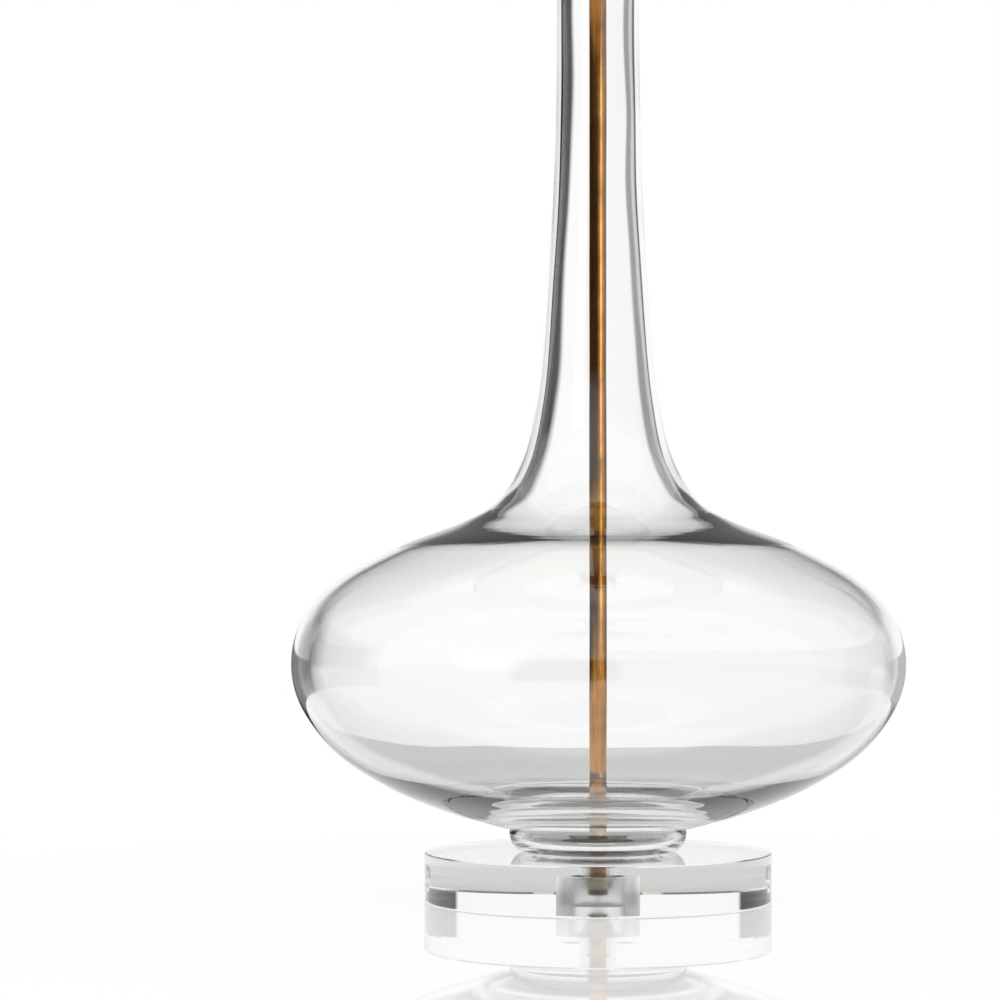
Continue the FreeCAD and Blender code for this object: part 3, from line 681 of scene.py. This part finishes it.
def boss_section():
    low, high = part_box("harp_boss")
    seat, stud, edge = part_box("shade_spider")[0][2] + 1.0 * MM, 3.1 * MM, 0.6 * MM
    line = [(0.0, low[2]), (high[0] - edge, low[2]), (high[0], low[2] + edge),
            (high[0], seat - edge), (high[0] - edge, seat)]
    pitch, turns = 0.94 * MM, 16
    for index in range(turns):
        line += [(stud - 0.3 * MM, seat + pitch * (index + 0.2)), (stud, seat + pitch * (index + 0.7))]
    return line + [(stud - edge, high[2]), (0.0, high[2])]


def sleeve_section(node):
    low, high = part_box(node)
    outer = (high[0] - low[0]) / 2
    inner, edge = outer - 1.6 * MM, 0.5 * MM
    groove = (low[2] + high[2]) / 2
    return [(inner, low[2]), (outer - edge, low[2]), (outer, low[2] + edge),
            (outer, groove - 4 * edge), (outer - edge / 2, groove - 3 * edge),
            (outer - edge / 2, groove + 3 * edge), (outer, groove + 4 * edge),
            (outer, high[2] - edge), (outer - edge, high[2]), (inner, high[2])]


def finial_section():
    low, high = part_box("finial")
    base, neck, ball = 7.0 * MM, 3.9 * MM, high[1]
    ball_z = high[2] - ball
    neck_z = low[2] + 10.0 * MM
    waist = smooth_line([(base, low[2] + 3.0 * MM), (base - 1.1 * MM, low[2] + 4.1 * MM),
                         (neck + 0.2 * MM, low[2] + 6.9 * MM), (neck, neck_z)], 6)
    start = -math.degrees(math.acos(neck / ball))
    return ([(0.0, low[2]), (base - 0.4 * MM, low[2]), (base, low[2] + 0.4 * MM)] + waist
            + quarter((0.0, ball_z), ball, ball, start, 90, 20)[1:])


harp_wire()
turned_piece("harp_boss_turned", boss_section(), "lamp", ["harp_boss"], BRASS)
for side, body in ((-1, "left_sleeve"), (1, "right_sleeve")):
    node = "harp_sleeve_left" if side < 0 else "harp_sleeve_right"
    sleeve_low, sleeve_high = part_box(node)
    turned_piece(node + "_turned", sleeve_section(node), body, [node], BRASS,
                 centre=((sleeve_low[0] + sleeve_high[0]) / 2, 0.0))
turned_piece("finial_turned", finial_section(), "finial", ["finial"], BRASS,
             segments=96)


# ---------------------------------------------------------------- nut and shade

NUT_FLATS = 14.3 * MM
NUT_TURN = -42.5        # the way that its first flat faces, in degrees from +X


def hex_nut():
    """The nut: six flats with their corners chamfered, turned to the angle it was left at."""
    low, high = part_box("hex_nut")
    flats = NUT_FLATS / 2
    corner = flats / math.cos(math.radians(30))
    chamfer, bore = 0.8 * MM, SLEEVE_BORE
    bm = turned_mesh([(bore, low[2]), (flats - 0.2 * MM, low[2]), (corner, low[2] + chamfer),
                      (corner, high[2] - chamfer), (flats - 0.2 * MM, high[2]), (bore, high[2])], 96)
    for index in range(6):
        angle = math.radians(NUT_TURN + index * 60)
        way = Vector((math.cos(angle), math.sin(angle), 0.0))
        cut = bmesh.ops.bisect_plane(bm, geom=bm.verts[:] + bm.edges[:] + bm.faces[:],
                                     plane_co=way * flats, plane_no=way, clear_outer=True)
        rim = [item for item in cut["geom_cut"] if isinstance(item, bmesh.types.BMEdge)]
        bmesh.ops.contextual_create(bm, geom=rim)
    return finish_piece(bm, "pipe_nut", "lamp", ["hex_nut"], ZINC)


SHADE_TAPER = 12.0 * MM


def cloth_tube(name, node, material, wall, low_radius, high_radius):
    """A slightly conical sleeve of cloth, with its UV map laid out in metres."""
    low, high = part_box(node)
    bm = turned_mesh([(low_radius - wall, low[2]), (low_radius, low[2]), (high_radius, high[2]),
                      (high_radius - wall, high[2])], SEGMENTS)
    layer = bm.loops.layers.uv.new("cloth")
    for face in bm.faces:
        middle = face.calc_center_median()
        turn = math.atan2(-middle.x, -middle.y)
        for loop in face.loops:
            here = loop.vert.co
            angle = math.atan2(-here.x, -here.y)
            angle += 2 * math.pi * round((turn - angle) / (2 * math.pi))
            loop[layer].uv = (angle * low_radius, here.z)
    return finish_piece(bm, name, "shade", [node], material)


def shade():
    """The drum: linen over stiff board, white lining, and a folded tape round each edge."""
    low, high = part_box("shade_cover")
    slope = SHADE_TAPER / (high[2] - low[2])
    for name, node, slot, material, wall in (
            ("linen_cover", "shade_cover", "shade_linen", LINEN, 0.8 * MM),
            ("white_lining", "shade_lining", "shade_lining", STYRENE, 0.5 * MM),
            ("lower_tape", "shade_bottom_trim", "shade_tape", TAPE, 0.4 * MM),
            ("upper_tape", "shade_top_trim", "shade_tape", TAPE, 0.4 * MM)):
        low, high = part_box(node)
        base = high[0]
        tip = base - slope * (high[2] - low[2])
        cloth_tube(name, node, material, wall, base, tip)


hex_nut()
shade()


# ---------------------------------------------------------------- nodes that keep their CAD mesh

KEPT = {
    BRASS: ["harp_saddle", "shade_spider", "shade_top_ring", "shade_bottom_ring", "holder_set_screw"],
    BARE_BRASS: ["terminal_screws", "center_contact"],
    ZINC: ["pocket_washer"],
    BLACK: ["holder_interior"],
    BOARD: ["holder_liner"],
    RUBBER: ["neck_gasket"],
    VINYL: ["cord_grommet"],
}
for kept_material, kept_nodes in KEPT.items():
    for kept_node in kept_nodes:
        for kept_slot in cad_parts[kept_node].material_slots:
            kept_slot.material = kept_material


# ---------------------------------------------------------------- camera

CAMERA_PLACE = (0.0, -2.167, 0.2153)
CAMERA_PITCH = 90.22    # degrees from straight down
CAMERA_YAW = 1.45

camera_data = bpy.data.cameras.new("camera")
camera_data.lens = 139.3
camera_data.sensor_width = 36.0
camera_data.clip_end = 50.0
camera = bpy.data.objects.new("camera", camera_data)
bpy.context.scene.collection.objects.link(camera)
camera.location = CAMERA_PLACE
camera.rotation_euler = (math.radians(CAMERA_PITCH), 0.0, math.radians(CAMERA_YAW))
bpy.context.scene.camera = camera


# ---------------------------------------------------------------- table and backdrop

TABLE_RADIUS = 0.61
POLISH = 0.38           # how much of the table's face mirrors


def count_over(tree, value, least):
    """1 where a value is over a limit, and 0 elsewhere."""
    return add(tree, "ShaderNodeMath", {0: value, 1: least}, operation="GREATER_THAN").outputs[0]


def table_material():
    """A white table that mirrors a little. Away from the lamp it is as white as the backdrop, and by
    the lamp it takes its shadow. Its lit colour greys from f6f6f6 by the lamp to dadcda further out:
    painted shade that makes the table read dimmer where it is seen through the clear pieces."""
    material, tree, output = new_material("white_table")
    path = add(tree, "ShaderNodeLightPath")
    place = add(tree, "ShaderNodeTexCoord")
    away = add(tree, "ShaderNodeVectorMath", {0: place.outputs["Object"]}, operation="LENGTH")
    far = add(tree, "ShaderNodeMapRange", {"Value": away.outputs["Value"], "From Min": 0.1,
                                           "From Max": 0.5, "To Min": 0.82, "To Max": 1.0})
    # Painted shade: the lit colour greys with distance from the lamp, so the table looks dimmer through the
    # glass.
    painted_shade_ramp = add(tree, "ShaderNodeMapRange", {"Value": away.outputs["Value"], "From Min": 0.12,
                                            "From Max": 0.35, "To Min": 0.0, "To Max": 1.0})
    grey = add(tree, "ShaderNodeMix", {0: painted_shade_ramp.outputs[0], 6: tone("f6f6f6"), 7: tone("dadcda")},
               data_type="RGBA")
    lit = add(tree, "ShaderNodeBsdfDiffuse", {"Color": grey.outputs[2]})
    white = add(tree, "ShaderNodeEmission", {"Color": tone("ffffff"), "Strength": 1.0})
    seen = add(tree, "ShaderNodeMixShader", {0: far.outputs[0], 1: lit.outputs[0], 2: white.outputs[0]})
    polish = add(tree, "ShaderNodeBsdfGlossy", {"Color": tone("ffffff"), "Roughness": 0.02})
    sheen = add(tree, "ShaderNodeMixShader", {0: POLISH, 1: seen.outputs[0], 2: polish.outputs[0]})
    mirrored = count_over(tree, path.outputs["Glossy Depth"], 0.5)
    other = add(tree, "ShaderNodeMixShader", {0: mirrored, 1: lit.outputs[0], 2: white.outputs[0]})
    either = add(tree, "ShaderNodeMixShader", {0: path.outputs["Is Camera Ray"], 1: other.outputs[0],
                                               2: sheen.outputs[0]})
    tree.links.new(either.outputs[0], output.inputs["Surface"])
    return material


def table():
    bm = bmesh.new()
    bmesh.ops.create_circle(bm, cap_ends=True, segments=96, radius=TABLE_RADIUS,
                            matrix=Matrix.Translation((0, 0, -0.3 * MM)))
    bmesh.ops.recalc_face_normals(bm, faces=bm.faces)
    mesh = bpy.data.meshes.new("table")
    bm.to_mesh(mesh)
    bm.free()
    mesh.materials.append(table_material())
    made = bpy.data.objects.new("table", mesh)
    bpy.context.scene.collection.objects.link(made)


def window(tree, value, low, high, soft):
    """1 where a value is between two limits, falling to 0 over a soft edge."""
    rise = add(tree, "ShaderNodeMapRange", {"Value": value, "From Min": low - soft, "From Max": low,
                                            "To Min": 0.0, "To Max": 1.0})
    fall = add(tree, "ShaderNodeMapRange", {"Value": value, "From Min": high, "From Max": high + soft,
                                            "To Min": 1.0, "To Max": 0.0})
    return add(tree, "ShaderNodeMath", {0: rise.outputs[0], 1: fall.outputs[0]},
               operation="MULTIPLY").outputs[0]


def layered(tree, base, cards, turn, rise):
    """A grey level with cards laid over it, one after another."""
    level = base
    for (low, high), soft, (bottom, top), fade, value in cards:
        across = window(tree, turn, low, high, soft)
        upward = window(tree, rise, bottom, top, fade)
        both = add(tree, "ShaderNodeMath", {0: across, 1: upward}, operation="MULTIPLY").outputs[0]
        level = add(tree, "ShaderNodeMix", {0: both, 2: level, 3: value}, data_type="FLOAT").outputs[0]
    return level


# Cards round the lamp. Each gives its azimuths in degrees from +Y toward +X, how soft their edges
# are, its elevations, how soft theirs are, and its level of light. A later card covers an earlier.

# Seen through the clear pieces; these azimuths repeat every quarter turn.
THROUGH_CARDS = [
    ((-45.0, -10.0), 3.0, (-4.0, 90.0), 3.0, 0.02),
    ((4.0, 45.0), 6.0, (-90.0, 90.0), 4.0, 0.98),
    ((11.0, 21.0), 2.0, (-4.0, 90.0), 3.0, 0.3),
    ((21.0, 43.0), 4.0, (-4.0, 90.0), 3.0, 0.7),
    ((-46.0, 46.0), 1.0, (15.0, 90.0), 4.0, 0.03),
]
# Mirrored by what stands in or behind the clear pieces.
INSIDE_CARDS = [
    ((-42.0, 42.0), 2.0, (-90.0, 90.0), 4.0, 1.0),
    ((-42.0, 42.0), 2.0, (15.0, 50.0), 5.0, 0.06),
    ((-42.0, -6.0), 2.0, (-90.0, 0.3), 0.6, 0.03),
    ((7.0, 42.0), 2.0, (-90.0, 0.3), 0.6, 0.4),
    ((42.0, 79.0), 2.0, (-10.0, 10.0), 5.0, 0.07),
    ((79.0, 122.0), 6.0, (-10.0, 10.0), 6.0, 0.6),
    ((-180.0, -42.0), 2.0, (-16.0, 18.0), 5.0, 0.02),
    ((126.0, 146.0), 9.0, (-16.0, 18.0), 8.0, 2.6),
]
# Mirrored by outer faces.
OUTSIDE_CARDS = [
    ((-190.0, 190.0), 1.0, (-90.0, 90.0), 20.0, 1.0),
    ((-60.0, 60.0), 8.0, (17.0, 45.0), 6.0, 0.35),
    ((-45.0, -10.0), 3.0, (-90.0, 0.3), 0.6, 0.05),
    ((10.0, 30.0), 3.0, (-90.0, 0.3), 0.6, 0.4),
    ((-80.0, -30.0), 8.0, (0.3, 16.0), 3.0, 0.08),
    ((-190.0, -150.0), 4.0, (-6.0, 14.0), 4.0, 0.04),
    ((174.0, 190.0), 4.0, (-6.0, 14.0), 4.0, 0.04),
]
# Met after many turns inside a clear wall.
TANGLED_CARDS = [
    ((-190.0, 190.0), 1.0, (10.0, 90.0), 6.0, 0.05),
]


def studio():
    """White all round where it lights or shows, with black and grey cards that only the clear
    pieces and the polished metal pick up. Which cards a ray meets goes by its mirrorings and by how
    many clear faces it has passed."""
    world = bpy.data.worlds.new("studio")
    bpy.context.scene.world = world
    world.use_nodes = True
    tree = world.node_tree
    tree.nodes.clear()
    output = tree.nodes.new("ShaderNodeOutputWorld")
    path = add(tree, "ShaderNodeLightPath")
    place = add(tree, "ShaderNodeTexCoord")
    parts = add(tree, "ShaderNodeSeparateXYZ", {0: place.outputs["Generated"]})
    around = add(tree, "ShaderNodeMath", {0: parts.outputs[0], 1: parts.outputs[1]}, operation="ARCTAN2")
    turn = add(tree, "ShaderNodeMath", {0: around.outputs[0]}, operation="DEGREES").outputs[0]
    up = add(tree, "ShaderNodeMath", {0: parts.outputs[2]}, operation="ARCSINE")
    rise = add(tree, "ShaderNodeMath", {0: up.outputs[0]}, operation="DEGREES").outputs[0]
    quarter_turn = add(tree, "ShaderNodeMath", {0: turn, 1: 45.0}, operation="ADD")
    folded = add(tree, "ShaderNodeMath", {0: quarter_turn.outputs[0], 1: 90.0}, operation="FLOORED_MODULO")
    sector = add(tree, "ShaderNodeMath", {0: folded.outputs[0], 1: 45.0}, operation="SUBTRACT").outputs[0]
    through = layered(tree, 1.0, THROUGH_CARDS, sector, rise)
    mirrored = layered(tree, 0.5, INSIDE_CARDS, turn, rise)
    outer = layered(tree, 0.5, OUTSIDE_CARDS, turn, rise)
    tangled = layered(tree, 0.85, TANGLED_CARDS, turn, rise)
    glossy = count_over(tree, path.outputs["Glossy Depth"], 0.5)
    clear = count_over(tree, path.outputs["Transmission Depth"], 0.5)
    deep = count_over(tree, path.outputs["Transmission Depth"], 4.5)
    again = count_over(tree, path.outputs["Glossy Depth"], 1.5)
    behind = count_over(tree, parts.outputs[1], 0.0)
    beyond = count_over(tree, path.outputs["Transmission Depth"], 2.5)
    either = add(tree, "ShaderNodeMath", {0: behind, 1: beyond}, operation="MAXIMUM")
    within = add(tree, "ShaderNodeMath", {0: either.outputs[0], 1: clear}, operation="MULTIPLY")
    inside = add(tree, "ShaderNodeMix", {0: within.outputs[0], 2: outer, 3: mirrored}, data_type="FLOAT")
    first = add(tree, "ShaderNodeMix", {0: glossy, 2: through, 3: inside.outputs[0]}, data_type="FLOAT")
    knotted = add(tree, "ShaderNodeMath", {0: deep, 1: again}, operation="MAXIMUM")
    seen = add(tree, "ShaderNodeMix", {0: knotted.outputs[0], 2: first.outputs[0], 3: tangled},
               data_type="FLOAT")
    soft = count_over(tree, path.outputs["Diffuse Depth"], 0.5)
    bent = add(tree, "ShaderNodeMath", {0: glossy, 1: clear}, operation="MAXIMUM")
    shown = add(tree, "ShaderNodeMix", {0: bent.outputs[0], 2: 1.0, 3: seen.outputs[0]},
                data_type="FLOAT")
    level = add(tree, "ShaderNodeMix", {0: soft, 2: shown.outputs[0], 3: 0.9}, data_type="FLOAT")
    light = add(tree, "ShaderNodeBackground", {"Color": tone("ffffff"), "Strength": level.outputs[0]})
    tree.links.new(light.outputs[0], output.inputs["Surface"])


def soft_light(name, place, aim, size, power):
    """A large soft lamp that lights, but isn't seen in the glass or the metal."""
    data = bpy.data.lights.new(name, "AREA")
    data.shape = "DISK"
    data.size = size
    data.energy = power
    made = bpy.data.objects.new(name, data)
    bpy.context.scene.collection.objects.link(made)
    made.location = place
    made.rotation_euler = (Vector(aim) - Vector(place)).to_track_quat("-Z", "Y").to_euler()
    made.visible_camera = False
    made.visible_glossy = False
    made.visible_transmission = False


table()
studio()
soft_light("key_light", (1.6, -2.2, 2.0), (0.0, 0.0, 0.4), 1.2, 26.0)

scene = bpy.context.scene
scene.view_settings.view_transform = "Standard"
scene.cycles.max_bounces = 24
scene.cycles.transmission_bounces = 24
scene.cycles.glossy_bounces = 12
scene.cycles.transparent_max_bounces = 16
scene.cycles.diffuse_bounces = 4
